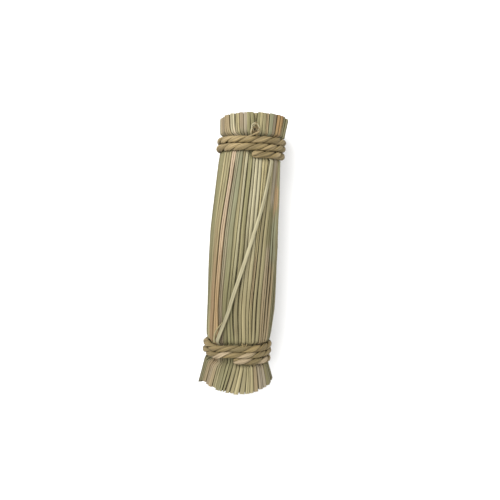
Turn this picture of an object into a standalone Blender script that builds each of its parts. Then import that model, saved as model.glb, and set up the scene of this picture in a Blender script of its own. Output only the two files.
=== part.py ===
"""A bunch of dried seagrass stems, bound near both ends with twisted two-ply cord, lying on its side.

The stems run along Y with the upper end at +Y, the side that shows is up (+Z), and the bunch rests on
z = 0. Every size below is in millimetres, and MM turns it into metres. Angles go round the bunch from
the top (+Z) towards +X.
"""

import math
import random

import bmesh
import bpy
from mathutils import Matrix, Vector

MM = 0.001

# The bunch: half widths across X, and how they change along Y. Its axis sways a little from side to side.
# MIDDLE_SHIFT brings the middle of the whole bunch over the origin.
BELLY_HALF_WIDTH = 15.7
WAIST_HALF_WIDTH = 12.55
UPPER_SHOULDER_HALF_WIDTH = 14.2
LOWER_SHOULDER_HALF_WIDTH = 14.5
UPPER_NECK_HALF_WIDTH = 14.8
LOWER_NECK_HALF_WIDTH = 14.4
UPPER_END_HALF_WIDTH = 15.65
LOWER_END_HALF_WIDTH = 16.4
HEIGHT_SHARE = 0.95
CENTRE_HEIGHT = 13.95
SAG = 0.95
SQUEEZE = 0.7
UPPER_WAIST = (40.5, 50.5)
LOWER_WAIST = (-49.6, -40.2)
SHOULDER_LENGTH = 1.3
UPPER_BELLY_CURVE = 1.3
LOWER_BELLY_CURVE = 4.0
AXIS_SWAY = (
    (-60.0, -0.1),
    (-48.0, -0.9),
    (-26.0, -0.25),
    (8.0, -0.85),
    (38.0, -0.45),
    (54.0, 0.15),
    (60.0, 0.5),
)
MIDDLE_SHIFT = (0.6, 0.35, 0.0)

# The cuts: how far each leans at +X and at +Z, and how the lower one bulges and leaves one corner long.
UPPER_END_Y = 58.1
LOWER_END_Y = -57.2
LOWER_MIDDLE_Y = -58.5
UPPER_CUT_LEAN = (0.75, 1.8)
LOWER_CUT_LEAN = (0.0, -1.3)
LOWER_CUT_BULGE = -1.7
LONG_CORNER = -4.0
LONG_CORNER_ANGLE = math.radians(-88.0)
LONG_CORNER_REACH = math.radians(28.0)

# The outer stems: one layer of long domed stems side by side.
STEM_SEED = 11
STEM_COUNT = 45
STEM_THICKNESS = 1.7
STEM_SHOULDER_DEPTH = 0.55
STEM_GAP = 0.15
STEM_GAP_INSIDE = 0.3
WIDTH_SPREAD = (0.68, 1.38)
SUNK_BY = (0.0, 0.28)
UNEVEN_CUT = 0.45
WIDEST_SPREAD = 1.2
BEARING_STEMS = (-2, -1, 0, 1, 2)
MIDDLE_STATIONS = (-26.0, 4.0)
STEM_REACH = math.radians(5.0)

# The stems wind a little round the bunch: by how much, in degrees, at these places along it. Below the lower
# tie they fan out to the left as well: by how much at these angles, FAN_LENGTH below the waist.
WINDING = ((-60.0, -3.0), (-40.0, -3.0), (-26.0, -6.5), (40.0, 8.0), (50.0, 8.0), (60.0, 4.0))
FAN = (
    (-180.0, 0.0),
    (-90.0, 0.0),
    (-40.0, -4.0),
    (-14.0, -7.0),
    (2.0, -11.0),
    (10.0, -11.0),
    (26.0, -5.0),
    (60.0, -4.0),
    (90.0, 0.0),
    (180.0, 0.0),
)
FAN_LENGTH = 9.8

# One stem crosses over the others between the ties.
CROSSING_UPPER_SLOT = math.radians(36.0)
CROSSING_LOWER_SLOT = math.radians(-37.0)
CROSSING_LIFT = 1.55
CROSSING_LIFT_AT_WAIST = 1.0
CROSSING_THICKNESS = 1.3
CROSSING_WIDTH = 1.7
CROSSING_ROUTE = (
    (-37.0, math.radians(-31.0)),
    (-30.0, math.radians(-21.5)),
    (-20.0, math.radians(-12.5)),
    (-6.0, math.radians(1.5)),
    (8.0, math.radians(15.0)),
    (20.0, math.radians(26.5)),
    (28.0, math.radians(32.0)),
    (36.0, math.radians(35.0)),
)

# The inner stems, as one solid of their form, with blunt stem ends standing out of both its ends.
INNER_GAP = 0.45
INNER_SIDES = 24
STUB_SEED = 5
STUB_COUNT = 26
STUB_SIDES = 5
STUB_RADIUS = 1.3
STUB_HEIGHT = 1.3
STUB_ROOT = 2.4
STUB_REACH = 0.82
STUB_UNEVEN_CUT = 0.35
GOLDEN_ANGLE = math.pi * (3.0 - math.sqrt(5.0))
INNER_DEPTH = -(STEM_THICKNESS + SUNK_BY[1] + INNER_GAP)

# The ties: two-ply cord wound about two and a half times round the waist.
CORD_LONG_HALF = 1.42
CORD_SHORT_HALF = 0.9
CORD_LOBE_HALF = 0.5
CORD_CLEARANCE = 0.15
CORD_TWIST_PITCH = 11.4
STATIONS_PER_TWIST = 5
UPPER_TIE = {"start_y": 42.0, "pitch": 3.15, "start": math.radians(3.0), "turns": 2.42, "askew": 0.2}
LOWER_TIE = {"start_y": -47.4, "pitch": 2.8, "start": math.radians(-4.0), "turns": 2.45, "askew": -1.0}
TIE_CLIMBS = 2.1
TIE_END_SCALE = 0.62
TIE_START_STEEPNESS = 30.0

# The frayed end of the upper tie: a small loop that stands up from the first turn.
LOOP_SIDES = 6
LOOP_HALF_THICKNESS = 0.5
LOOP_ROUTE = (
    (0.0, 49.0, 1.8),
    (-0.5, 50.4, 2.1),
    (-0.55, 52.3, 1.1),
    (-0.15, 54.2, 1.0),
    (0.85, 55.2, 1.1),
    (1.85, 54.3, 1.0),
    (2.15, 52.2, 1.1),
    (2.0, 50.4, 2.1),
    (1.5, 49.0, 1.8),
)
LOOP_STATIONS_PER_SPAN = 2

# Smooth skin breaks into an edge at this angle.
SHARP_ANGLE = math.radians(50.0)

# How rough each skin is, and the colours as seen, in sRGB.
STEM_ROUGHNESS = 0.75
INNER_ROUGHNESS = 0.85
CORD_ROUGHNESS = 0.8
CHANNEL_MAX = 255.0
GAMMA = 2.2
STRAW = (184, 170, 127)
KHAKI = (168, 157, 118)
OLIVE = (154, 154, 118)
GREY_GREEN = (142, 148, 118)
CREAM = (198, 191, 152)
MAUVE = (160, 146, 132)
ORANGE_TAN = (198, 156, 108)
PINK_TAN = (203, 168, 140)
BROWN_MAUVE = (165, 145, 117)
CORD_TAN = (168, 148, 106)
STEM_COLOURS = (STRAW, KHAKI, OLIVE, GREY_GREEN, KHAKI, CREAM, OLIVE, BROWN_MAUVE, STRAW, OLIVE)
COLOUR_STEP = 7
COLOUR_REACH = math.radians(3.6)
COLOURED_STEMS = (
    (math.radians(-41.0), PINK_TAN),
    (math.radians(-34.0), MAUVE),
    (math.radians(-76.0), GREY_GREEN),
    (math.radians(66.0), ORANGE_TAN),
)


def linear(colour):
    """An sRGB colour as linear values."""
    return tuple((channel / CHANNEL_MAX) ** GAMMA for channel in colour) + (1.0,)


def material(name, colour, roughness):
    made = bpy.data.materials.new(name)
    made.use_nodes = True
    shader = made.node_tree.nodes["Principled BSDF"]
    shader.inputs["Base Color"].default_value = linear(colour)
    shader.inputs["Roughness"].default_value = roughness
    shader.inputs["Metallic"].default_value = 0.0
    return made


def along_line(points, at):
    """The height of a broken line through the points."""
    for (start, first), (stop, second) in zip(points, points[1:]):
        if at <= stop:
            break
    return first + (second - first) * (at - start) / (stop - start)


def sway(y):
    """How far the axis of the bunch lies to the side at this place along it."""
    return along_line(AXIS_SWAY, y)


def free_width(y):
    """Half the width that the bunch would have without the grip of its ties."""
    if y > UPPER_WAIST[1]:
        share = (y - UPPER_WAIST[1]) / (UPPER_END_Y - UPPER_WAIST[1])
        return UPPER_NECK_HALF_WIDTH + (UPPER_END_HALF_WIDTH - UPPER_NECK_HALF_WIDTH) * share
    if y < LOWER_WAIST[0]:
        share = (LOWER_WAIST[0] - y) / (LOWER_WAIST[0] - LOWER_END_Y)
        return LOWER_NECK_HALF_WIDTH + (LOWER_END_HALF_WIDTH - LOWER_NECK_HALF_WIDTH) * share
    if y > 0:
        narrowing = (BELLY_HALF_WIDTH - UPPER_SHOULDER_HALF_WIDTH) * (y / UPPER_WAIST[0]) ** UPPER_BELLY_CURVE
    else:
        narrowing = (BELLY_HALF_WIDTH - LOWER_SHOULDER_HALF_WIDTH) * (y / LOWER_WAIST[1]) ** LOWER_BELLY_CURVE
    return max(WAIST_HALF_WIDTH, BELLY_HALF_WIDTH - narrowing)


def waist(angle, y):
    """Where the nearer tie's grip begins and ends. The upper one's edge climbs with the cord's first turn."""
    if y < 0:
        return LOWER_WAIST
    turned = ((angle - UPPER_TIE["start"]) / (2.0 * math.pi)) % 1.0
    climbed = UPPER_TIE["pitch"] * min(turned, (1.0 - turned) * TIE_START_STEEPNESS)
    return UPPER_WAIST[0] + climbed, UPPER_WAIST[1]


def half_width(angle, y):
    """Half the width of the bunch across X, as it is for the stems at this angle."""
    start, stop = waist(angle, y)
    released = min(1.0, max(0.0, start - y, y - stop) / SHOULDER_LENGTH)
    return WAIST_HALF_WIDTH + (free_width(y) - WAIST_HALF_WIDTH) * released


def centre_height(y):
    """The bunch sags onto the floor, and its flared ends lie on it."""
    return max(CENTRE_HEIGHT, free_width(y) * HEIGHT_SHARE - SAG)


def place(angle, y, offset=0.0, wide=None):
    """A point at this angle, this far outside the stems. The underside is flat, and squeezed on the floor."""
    wide = wide or half_width(angle, y)
    outline = max(centre_height(y) + wide * HEIGHT_SHARE * math.cos(angle), -SQUEEZE)
    x = sway(y) + (wide + offset) * math.sin(angle)
    z = outline + offset * math.cos(angle)
    return Vector((x, y, max(z, 0.0))) * MM


def loft(name, rings, surface):
    """A closed solid through the rings: the first is filled, then extruded from ring to ring."""
    shape = bmesh.new()
    end = shape.faces.new([shape.verts.new(point) for point in rings[0]])
    for ring in rings[1:]:
        made = bmesh.ops.extrude_face_region(shape, geom=[end, *end.edges])
        end = next(item for item in made["geom"] if isinstance(item, bmesh.types.BMFace))
        for corner, point in zip(end.verts, ring):
            corner.co = point
    bmesh.ops.recalc_face_normals(shape, faces=shape.faces)
    mesh = bpy.data.meshes.new(name)
    shape.to_mesh(mesh)
    shape.free()
    mesh.materials.append(surface)
    mesh.shade_smooth()
    mesh.set_sharp_from_angle(angle=SHARP_ANGLE)
    made = bpy.data.objects.new(name, mesh)
    bpy.context.scene.collection.objects.link(made)
    return made


def join(whole, piece):
    """Fuses a helper shape to the piece that it grows from."""
    piece.hide_render = True
    piece.display_type = "WIRE"
    union = whole.modifiers.new(f"join_{piece.name}", "BOOLEAN")
    union.operation = "UNION"
    union.solver = "EXACT"
    union.object = piece


def slot_share(y, upper):
    """How much of its slot the crossing stem fills: all of it near the tie, nothing past the middle."""
    near = UPPER_WAIST[0] - SHOULDER_LENGTH if upper else LOWER_WAIST[1] + SHOULDER_LENGTH
    far = MIDDLE_STATIONS[1] if upper else MIDDLE_STATIONS[0]
    return min(1.0, max(0.0, (y - far) / (near - far)))


class Layer:
    """The layer of outer stems: how wide each is, and where its sides lie along the bunch."""

    def __init__(self):
        chance = random.Random(STEM_SEED)
        self.widths = [chance.uniform(*WIDTH_SPREAD) for _ in range(STEM_COUNT)]
        self.sunk = [chance.uniform(*SUNK_BY) for _ in range(STEM_COUNT)]
        self.widths[0] = WIDTH_SPREAD[1]
        for number in BEARING_STEMS:
            self.sunk[number] = 0.0
        self.cuts = [[chance.uniform(-UNEVEN_CUT, UNEVEN_CUT) for _ in range(2)] for _ in self.widths]
        self.crossing_after = {}
        at_waists = {
            True: (self.edges(UPPER_WAIST[0]), CROSSING_UPPER_SLOT),
            False: (self.edges(LOWER_WAIST[1]), CROSSING_LOWER_SLOT),
        }
        for is_upper, (edges, angle) in at_waists.items():
            offsets = [abs(edges[number][1] - angle) for number in range(STEM_COUNT)]
            self.crossing_after[is_upper] = offsets.index(min(offsets))

    def slots(self, y):
        """Each stem's slot in order, with the crossing stem's two slots as far as they are open."""
        slots = []
        for number, width in enumerate(self.widths):
            slots.append((number, width))
            for upper, after in self.crossing_after.items():
                if number == after:
                    slots.append(("upper" if upper else "lower", slot_share(y, upper)))
        return slots

    def edges(self, y):
        """The two side angles of every slot at this place along the bunch."""
        slots = self.slots(y)
        whole = 2.0 * math.pi / sum(width for _, width in slots)
        angle = -math.pi - slots[0][1] * whole / 2.0
        found = {}
        for key, width in slots:
            found[key] = (wound(angle, y), wound(angle + width * whole, y))
            angle += width * whole
        return found


def wound(angle, y):
    """The angle at this place along the bunch, with the winding and the fan at the lower end."""
    share = max(0.0, LOWER_WAIST[0] - y) / FAN_LENGTH
    fan = along_line(FAN, math.degrees(angle)) * share
    return angle + math.radians(along_line(WINDING, y) + fan)


def upper_end(angle):
    """How far along the stem at this angle is cut: the cuts lean a little."""
    return UPPER_END_Y + UPPER_CUT_LEAN[0] * math.sin(angle) + UPPER_CUT_LEAN[1] * math.cos(angle)


def lower_cut(angle):
    lean = LOWER_CUT_LEAN[0] * math.sin(angle) + LOWER_CUT_LEAN[1] * math.cos(angle)
    return LOWER_END_Y + lean + LOWER_CUT_BULGE * math.cos(angle) ** 2


def lower_end(angle):
    """The lower cut of the outer stems, which leaves one corner long."""
    corner = max(0.0, 1.0 - abs(angle - LONG_CORNER_ANGLE) / LONG_CORNER_REACH)
    return lower_cut(angle) + LONG_CORNER * corner


def stem_ring(left, right, y, crown, thickness):
    """Five corners of a stem across its length: a flat inside, two shoulders and a crown."""
    wide = half_width((left + right) / 2.0, y)
    gap = STEM_GAP / 2.0 / wide
    gap_inside = STEM_GAP_INSIDE / 2.0 / wide
    shoulder = crown - STEM_SHOULDER_DEPTH
    return [
        place(left + gap_inside, y, crown - thickness),
        place(right - gap_inside, y, crown - thickness),
        place(right - gap, y, shoulder),
        place((left + right) / 2.0, y, crown),
        place(left + gap, y, shoulder),
    ]


def stations(angle, cuts):
    """The places along a stem where its shape changes, from its lower cut to its upper one."""
    lower = LOWER_WAIST
    at_waist = wound(angle, UPPER_WAIST[0])
    upper = max(waist(at_waist + side * STEM_REACH, UPPER_WAIST[0]) for side in (-1, 1))
    return [
        lower_end(wound(angle, LOWER_END_Y)) + cuts[0],
        lower[0] - SHOULDER_LENGTH,
        lower[0],
        lower[1],
        lower[1] + SHOULDER_LENGTH,
        *MIDDLE_STATIONS,
        upper[0] - SHOULDER_LENGTH,
        upper[0],
        upper[1],
        upper[1] + SHOULDER_LENGTH,
        upper_end(wound(angle, UPPER_END_Y)) + cuts[1],
    ]


def outer_stems(layer):
    """Every outer stem but the crossing one, round the bunch from the underside."""
    middle = layer.edges(0.0)
    made = []
    for number in range(STEM_COUNT):
        left, right = middle[number]
        centre = (left + right) / 2.0 - wound(0.0, 0.0)
        rings = []
        for y in stations(centre, layer.cuts[number]):
            left, right = layer.edges(y)[number]
            most = WIDEST_SPREAD * (middle[number][1] - middle[number][0])
            spare = max(0.0, (right - left - most) / 2.0)
            rings.append(stem_ring(left + spare, right - spare, y, -layer.sunk[number], STEM_THICKNESS))
        name = f"stem_{number + 1:02d}"
        skin = material(f"{name}_skin", stem_colour(number, centre), STEM_ROUGHNESS)
        made.append(loft(name, rings, skin))
    return made


def stem_colour(number, angle):
    """The colour of the stem at this angle: a few are told apart by theirs."""
    for near, colour in COLOURED_STEMS:
        if abs(angle - near) < COLOUR_REACH:
            return colour
    return STEM_COLOURS[(number * COLOUR_STEP) % len(STEM_COLOURS)]


def crossing_stem(layer):
    """The stem that leaves its slot below the upper tie, crosses the front and dips under the lower tie."""
    lowest, highest = CROSSING_ROUTE[0][0], CROSSING_ROUTE[-1][0]
    below = [y for y in stations(CROSSING_LOWER_SLOT - wound(0.0, LOWER_WAIST[1]), (0.0, 0.0)) if y < lowest]
    above = [y for y in stations(CROSSING_UPPER_SLOT - wound(0.0, UPPER_WAIST[0]), (0.0, 0.0)) if y > highest]
    rings = []
    for y in below:
        lift = CROSSING_LIFT_AT_WAIST if y == below[-1] else 0.0
        rings.append(stem_ring(*layer.edges(y)["lower"], y, lift, CROSSING_THICKNESS))
    for y, angle in CROSSING_ROUTE:
        half = CROSSING_WIDTH / 2.0 / half_width(angle, y)
        rings.append(stem_ring(angle - half, angle + half, y, CROSSING_LIFT, CROSSING_THICKNESS))
    for y in above:
        lift = CROSSING_LIFT_AT_WAIST if y == above[0] else 0.0
        rings.append(stem_ring(*layer.edges(y)["upper"], y, lift, CROSSING_THICKNESS))
    return loft("crossing_stem", rings, material("crossing_stem_skin", CREAM, STEM_ROUGHNESS))


def stem_stubs(name, end, middle_y, outward):
    """Blunt stem ends over one end of the bunch, spread as seeds are on a sunflower."""
    chance = random.Random(STUB_SEED)
    shape = bmesh.new()
    length = (STUB_HEIGHT + STUB_ROOT) * MM
    for number in range(STUB_COUNT):
        share = math.sqrt((number + 0.5) / STUB_COUNT)
        angle = number * GOLDEN_ANGLE
        tip = middle_y + (end(angle) - middle_y) * share + chance.uniform(-STUB_UNEVEN_CUT, STUB_UNEVEN_CUT)
        centre = Vector((sway(tip), tip, centre_height(tip))) * MM
        spot = centre.lerp(place(angle, tip, INNER_DEPTH), share * STUB_REACH)
        spot.y -= outward * length / 2.0
        turn = Matrix.Rotation(math.pi / 2.0, 4, "X") @ Matrix.Rotation(angle, 4, "Z")
        bmesh.ops.create_cone(
            shape,
            cap_ends=True,
            segments=STUB_SIDES,
            radius1=STUB_RADIUS * MM,
            radius2=STUB_RADIUS * MM,
            depth=length,
            matrix=Matrix.Translation(spot) @ turn,
        )
    mesh = bpy.data.meshes.new(name)
    shape.to_mesh(mesh)
    shape.free()
    made = bpy.data.objects.new(name, mesh)
    bpy.context.scene.collection.objects.link(made)
    return made


def inner_stems():
    """The stems inside the outer layer, as one solid of their form that reaches their cut ends."""
    angles = [2.0 * math.pi * side / INNER_SIDES for side in range(INNER_SIDES)]
    along = stations(UPPER_TIE["start"] - wound(0.0, UPPER_WAIST[0]), (0.0, 0.0))
    along[0] = LOWER_MIDDLE_Y + STUB_HEIGHT
    rings = []
    for y in along[:-1]:
        wide = half_width(UPPER_TIE["start"], y)
        rings.append([place(angle, y, INNER_DEPTH, wide) for angle in angles])
    rings.append([place(angle, upper_end(angle) - STUB_HEIGHT, INNER_DEPTH) for angle in angles])
    made = loft("inner_stems", rings, material("inner_stems_skin", KHAKI, INNER_ROUGHNESS))
    join(made, stem_stubs("lower_stubs", lower_cut, LOWER_MIDDLE_Y, -1.0))
    join(made, stem_stubs("upper_stubs", upper_end, UPPER_END_Y, 1.0))
    return made


def tie_rings(tie):
    """The cord's cross-sections along its turns: a long six-sided shape that turns with the twist."""
    radius = WAIST_HALF_WIDTH + CORD_CLEARANCE + CORD_LONG_HALF
    length = 2.0 * math.pi * radius * tie["turns"]
    count = round(length / CORD_TWIST_PITCH * STATIONS_PER_TWIST)
    offset = CORD_CLEARANCE + math.hypot(CORD_LONG_HALF, CORD_LOBE_HALF)
    long, short, lobe = CORD_LONG_HALF, CORD_SHORT_HALF, CORD_LOBE_HALF
    section = ((long, lobe), (0.0, short), (-long, lobe), (-long, -lobe), (0.0, -short), (long, -lobe))
    rings = []
    for number in range(count + 1):
        angle = tie["start"] + 2.0 * math.pi * tie["turns"] * number / count
        turned = 2.0 * math.pi * number / STATIONS_PER_TWIST
        scale = TIE_END_SCALE if number in (0, count) else 1.0
        y = tie["start_y"] + tie["pitch"] * min(TIE_CLIMBS, angle / (2.0 * math.pi))
        y += tie["askew"] * (1.0 - math.cos(angle))
        ring = []
        for along, across in section:
            outward = (along * math.cos(turned) - across * math.sin(turned)) * scale
            upward = (along * math.sin(turned) + across * math.cos(turned)) * scale
            ring.append(waist_place(angle, y + upward, offset + outward))
        rings.append(ring)
    return rings


def waist_place(angle, y, offset):
    """A point outside the waist, wherever along the bunch it is."""
    x = sway(y) + (WAIST_HALF_WIDTH + offset) * math.sin(angle)
    z = CENTRE_HEIGHT + (WAIST_HALF_WIDTH * HEIGHT_SHARE + offset) * math.cos(angle)
    return Vector((x, y, max(z, 0.0))) * MM


def smooth_route(points, steps):
    """A smooth curve through the points."""
    ends = [points[0] * 2.0 - points[1], *points, points[-1] * 2.0 - points[-2]]
    route = []
    for before, start, stop, after in zip(ends, ends[1:], ends[2:], ends[3:]):
        for step in range(steps):
            share = step / steps
            curve = start * 2.0 + (stop - before) * share
            curve += (before * 2.0 - start * 5.0 + stop * 4.0 - after) * share**2
            curve += (start * 3.0 - before - stop * 3.0 + after) * share**3
            route.append(curve / 2.0)
    return [*route, points[-1]]


def loop_rings():
    """The frayed loop's cross-sections: six-sided, square to its route."""
    points = []
    for x, y, offset in LOOP_ROUTE:
        angle = math.asin(x / WAIST_HALF_WIDTH)
        points.append(place(angle, y, offset) if y > UPPER_WAIST[1] else waist_place(angle, y, offset))
    route = smooth_route(points, LOOP_STATIONS_PER_SPAN)
    rings = []
    for number, point in enumerate(route):
        ahead = route[min(number + 1, len(route) - 1)] - route[max(number - 1, 0)]
        side = ahead.cross(Vector((0.0, 0.0, 1.0))).normalized()
        up = side.cross(ahead).normalized()
        ring = []
        for corner in range(LOOP_SIDES):
            angle = 2.0 * math.pi * corner / LOOP_SIDES
            outward = side * math.cos(angle) + up * math.sin(angle)
            ring.append(point + outward * LOOP_HALF_THICKNESS * MM)
        rings.append(ring)
    return rings


def upper_tie():
    """The upper cord, with the loop of its frayed end joined to the first turn."""
    skin = material("upper_tie_cord", CORD_TAN, CORD_ROUGHNESS)
    made = loft("upper_tie", tie_rings(UPPER_TIE), skin)
    join(made, loft("upper_tie_loop", loop_rings(), skin))
    return made


def lower_tie():
    skin = material("lower_tie_cord", CORD_TAN, CORD_ROUGHNESS)
    return loft("lower_tie", tie_rings(LOWER_TIE), skin)


def main():
    for old in list(bpy.data.objects):
        bpy.data.objects.remove(old, do_unlink=True)
    bunch = bpy.data.objects.new("bunch_of_seagrass", None)
    bunch.location = Vector(MIDDLE_SHIFT) * MM
    bpy.context.scene.collection.objects.link(bunch)
    layer = Layer()
    pieces = [*outer_stems(layer), crossing_stem(layer), inner_stems(), upper_tie(), lower_tie()]
    for piece in pieces:
        piece.parent = bunch


main()
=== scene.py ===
"""A bunch of dried seagrass lying on its side, tied near both ends with cord twisted from the same grass."""

import math
import random

import bmesh
import bpy
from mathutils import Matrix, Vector, noise


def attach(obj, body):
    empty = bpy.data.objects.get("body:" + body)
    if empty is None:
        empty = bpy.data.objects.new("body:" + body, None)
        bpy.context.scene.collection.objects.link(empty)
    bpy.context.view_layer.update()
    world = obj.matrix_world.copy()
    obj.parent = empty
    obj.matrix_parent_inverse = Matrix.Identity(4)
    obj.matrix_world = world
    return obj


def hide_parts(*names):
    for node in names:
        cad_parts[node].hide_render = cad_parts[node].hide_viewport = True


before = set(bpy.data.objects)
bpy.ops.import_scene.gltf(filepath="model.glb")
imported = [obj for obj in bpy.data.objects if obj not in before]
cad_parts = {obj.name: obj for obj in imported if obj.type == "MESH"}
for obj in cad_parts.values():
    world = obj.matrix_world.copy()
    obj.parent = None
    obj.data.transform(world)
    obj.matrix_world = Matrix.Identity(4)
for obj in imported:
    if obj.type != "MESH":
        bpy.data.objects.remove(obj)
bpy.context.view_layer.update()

# The gathered bunch
# A handful of dried seagrass is drawn in by two ties and cut off at both ends. It stays nearly round, sags
# a little where it lies, swells between the ties, and its stems wind a little. Millimetres, along Y.
MM = 0.001
BELLY_HALF_WIDTH = 15.7
WAIST_HALF_WIDTH = 12.55
UPPER_SHOULDER_HALF_WIDTH = 14.2
LOWER_SHOULDER_HALF_WIDTH = 14.5
UPPER_NECK_HALF_WIDTH = 14.8
LOWER_NECK_HALF_WIDTH = 14.4
UPPER_END_HALF_WIDTH = 15.65
LOWER_END_HALF_WIDTH = 16.4
HEIGHT_SHARE = 0.95
CENTRE_HEIGHT = 13.95
SAG = 0.95
SQUEEZE = 0.7
UPPER_WAIST = (40.5, 50.5)
LOWER_WAIST = (-49.6, -40.2)
SHOULDER_LENGTH = 1.3
SHOULDER_BITE = 1.0
SHOULDER_RELEASED = 0.6
GRIP_DIP = 0.8
UPPER_BELLY_CURVE = 1.3
LOWER_BELLY_CURVE = 4.0
AXIS_SWAY = (
    (-60.0, -0.1),
    (-48.0, -0.9),
    (-26.0, -0.25),
    (8.0, -0.85),
    (38.0, -0.45),
    (54.0, 0.15),
    (60.0, 0.5),
)
MIDDLE_SHIFT = Vector((0.6, 0.35, 0.0))
UPPER_END_Y = 58.1
LOWER_END_Y = -57.2
LOWER_MIDDLE_Y = -58.5
UPPER_CUT_LEAN = (0.75, 1.8)
LOWER_CUT_LEAN = -1.3
LOWER_CUT_BULGE = -1.7
LONG_CORNER = -4.0
LONG_CORNER_ANGLE = math.radians(-88.0)
LONG_CORNER_REACH = math.radians(28.0)
UPPER_TIE = {"start_y": 42.0, "pitch": 3.15, "start": math.radians(3.0), "turns": 2.42, "askew": 0.2}
UPPER_TIE |= {"phase": 0.0, "size": 1.0, "spread": 0.06, "tilt": 0.0, "dip": 0.0}
LOWER_TIE = {"start_y": -47.4, "pitch": 2.55, "start": math.radians(-4.0), "turns": 2.45, "askew": -1.0}
LOWER_TIE |= {"phase": 1.2, "size": 0.9, "spread": 0.35, "tilt": 0.3, "dip": 1.1}
TIE_START_STEEPNESS = 30.0
DIP_ANGLE = math.radians(-42.0)
DIP_REACH = math.radians(34.0)
WINDING = ((-60.0, -3.0), (-40.0, -3.0), (-26.0, -6.5), (40.0, 8.0), (50.0, 8.0), (60.0, 4.0))
WINDING_EASING = 7.0
FAN = (
    (-180.0, 0.0),
    (-90.0, 0.0),
    (-40.0, -4.0),
    (-14.0, -7.0),
    (2.0, -11.0),
    (10.0, -11.0),
    (26.0, -5.0),
    (60.0, -4.0),
    (90.0, 0.0),
    (180.0, 0.0),
)
FAN_EASING = 4.0
FAN_LENGTH = 9.8
EASING_STEPS = (-1.0, -0.5, 0.0, 0.5, 1.0)
TURN = 2.0 * math.pi


def along_line(points, at):
    """The height of a broken line through the points."""
    for (start, first), (stop, second) in zip(points, points[1:]):
        if at <= stop:
            break
    return first + (second - first) * (at - start) / (stop - start)


def eased_line(points, at, reach):
    """The same line with its corners rounded."""
    return sum(along_line(points, at + reach * step) for step in EASING_STEPS) / len(EASING_STEPS)


def smooth_step(share):
    """A soft way from 0 to 1."""
    share = min(1.0, max(0.0, share))
    return share**2 * (3.0 - 2.0 * share)


def sway(y):
    """How far the axis of the bunch lies to the side."""
    return along_line(AXIS_SWAY, y)


def free_width(y):
    """Half the width that the bunch would have without the grip of its ties."""
    if y > UPPER_WAIST[1]:
        share = (y - UPPER_WAIST[1]) / (UPPER_END_Y - UPPER_WAIST[1])
        return UPPER_NECK_HALF_WIDTH + (UPPER_END_HALF_WIDTH - UPPER_NECK_HALF_WIDTH) * share
    if y < LOWER_WAIST[0]:
        share = (LOWER_WAIST[0] - y) / (LOWER_WAIST[0] - LOWER_END_Y)
        return LOWER_NECK_HALF_WIDTH + (LOWER_END_HALF_WIDTH - LOWER_NECK_HALF_WIDTH) * share
    if y > 0:
        narrowing = (BELLY_HALF_WIDTH - UPPER_SHOULDER_HALF_WIDTH) * (y / UPPER_WAIST[0]) ** UPPER_BELLY_CURVE
    else:
        narrowing = (BELLY_HALF_WIDTH - LOWER_SHOULDER_HALF_WIDTH) * (y / LOWER_WAIST[1]) ** LOWER_BELLY_CURVE
    return max(WAIST_HALF_WIDTH, BELLY_HALF_WIDTH - narrowing)


def dipped(tie, angle):
    """How far a tie has slipped towards the lower end at this angle: it sags at the left of the front."""
    away = abs((angle - DIP_ANGLE + math.pi) % TURN - math.pi)
    return tie["dip"] * smooth_step(1.0 - away / DIP_REACH)


def half_width(angle, y):
    """Half the width as it is for the stems at this angle. They bend softly where a tie presses them in. The
    edge of the upper grip climbs with the cord's first turn. The lower grip dips at the sides, and with its
    cord."""
    dip = dipped(LOWER_TIE, angle)
    start, stop = LOWER_WAIST[0] - dip, LOWER_WAIST[1] - dip - GRIP_DIP * min(1.0, 1.0 - math.cos(angle))
    if y > 0:
        turned = ((angle - UPPER_TIE["start"]) / TURN) % 1.0
        start = UPPER_WAIST[0] + UPPER_TIE["pitch"] * min(turned, (1.0 - turned) * TIE_START_STEEPNESS)
        stop = UPPER_WAIST[1]
    outside = max(start - y, y - stop) + SHOULDER_BITE
    released = smooth_step(outside / (SHOULDER_RELEASED + SHOULDER_BITE))
    return WAIST_HALF_WIDTH + (free_width(y) - WAIST_HALF_WIDTH) * released


def place(angle, y, offset=0.0):
    """A point this far outside the bunch's outline. Angles go round from the top (+Z) towards +X."""
    wide = half_width(angle, y)
    middle = max(CENTRE_HEIGHT, free_width(y) * HEIGHT_SHARE - SAG)
    outline = max(middle + wide * HEIGHT_SHARE * math.cos(angle), -SQUEEZE)
    x = sway(y) + (wide + offset) * math.sin(angle)
    z = max(outline + offset * math.cos(angle), 0.0)
    return (Vector((x, y, z)) + MIDDLE_SHIFT) * MM


def upper_end(angle):
    """Where the stem at this angle is cut off."""
    return UPPER_END_Y + UPPER_CUT_LEAN[0] * math.sin(angle) + UPPER_CUT_LEAN[1] * math.cos(angle)


def lower_cut(angle):
    """The same at the lower end, where the middle stands out."""
    return LOWER_END_Y + LOWER_CUT_LEAN * math.cos(angle) + LOWER_CUT_BULGE * math.cos(angle) ** 2


def lower_end(angle):
    """The lower cut of the outer stems, which leaves one corner long."""
    corner = max(0.0, 1.0 - abs(angle - LONG_CORNER_ANGLE) / LONG_CORNER_REACH)
    return lower_cut(angle) + LONG_CORNER * corner


def wound(angle, y):
    """The angle at this place along the bunch, with the winding and the fan at the lower end."""
    share = max(0.0, LOWER_WAIST[0] - y) / FAN_LENGTH
    fan = eased_line(FAN, math.degrees(angle), FAN_EASING) * share
    return angle + math.radians(eased_line(WINDING, y, WINDING_EASING) + fan)


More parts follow.
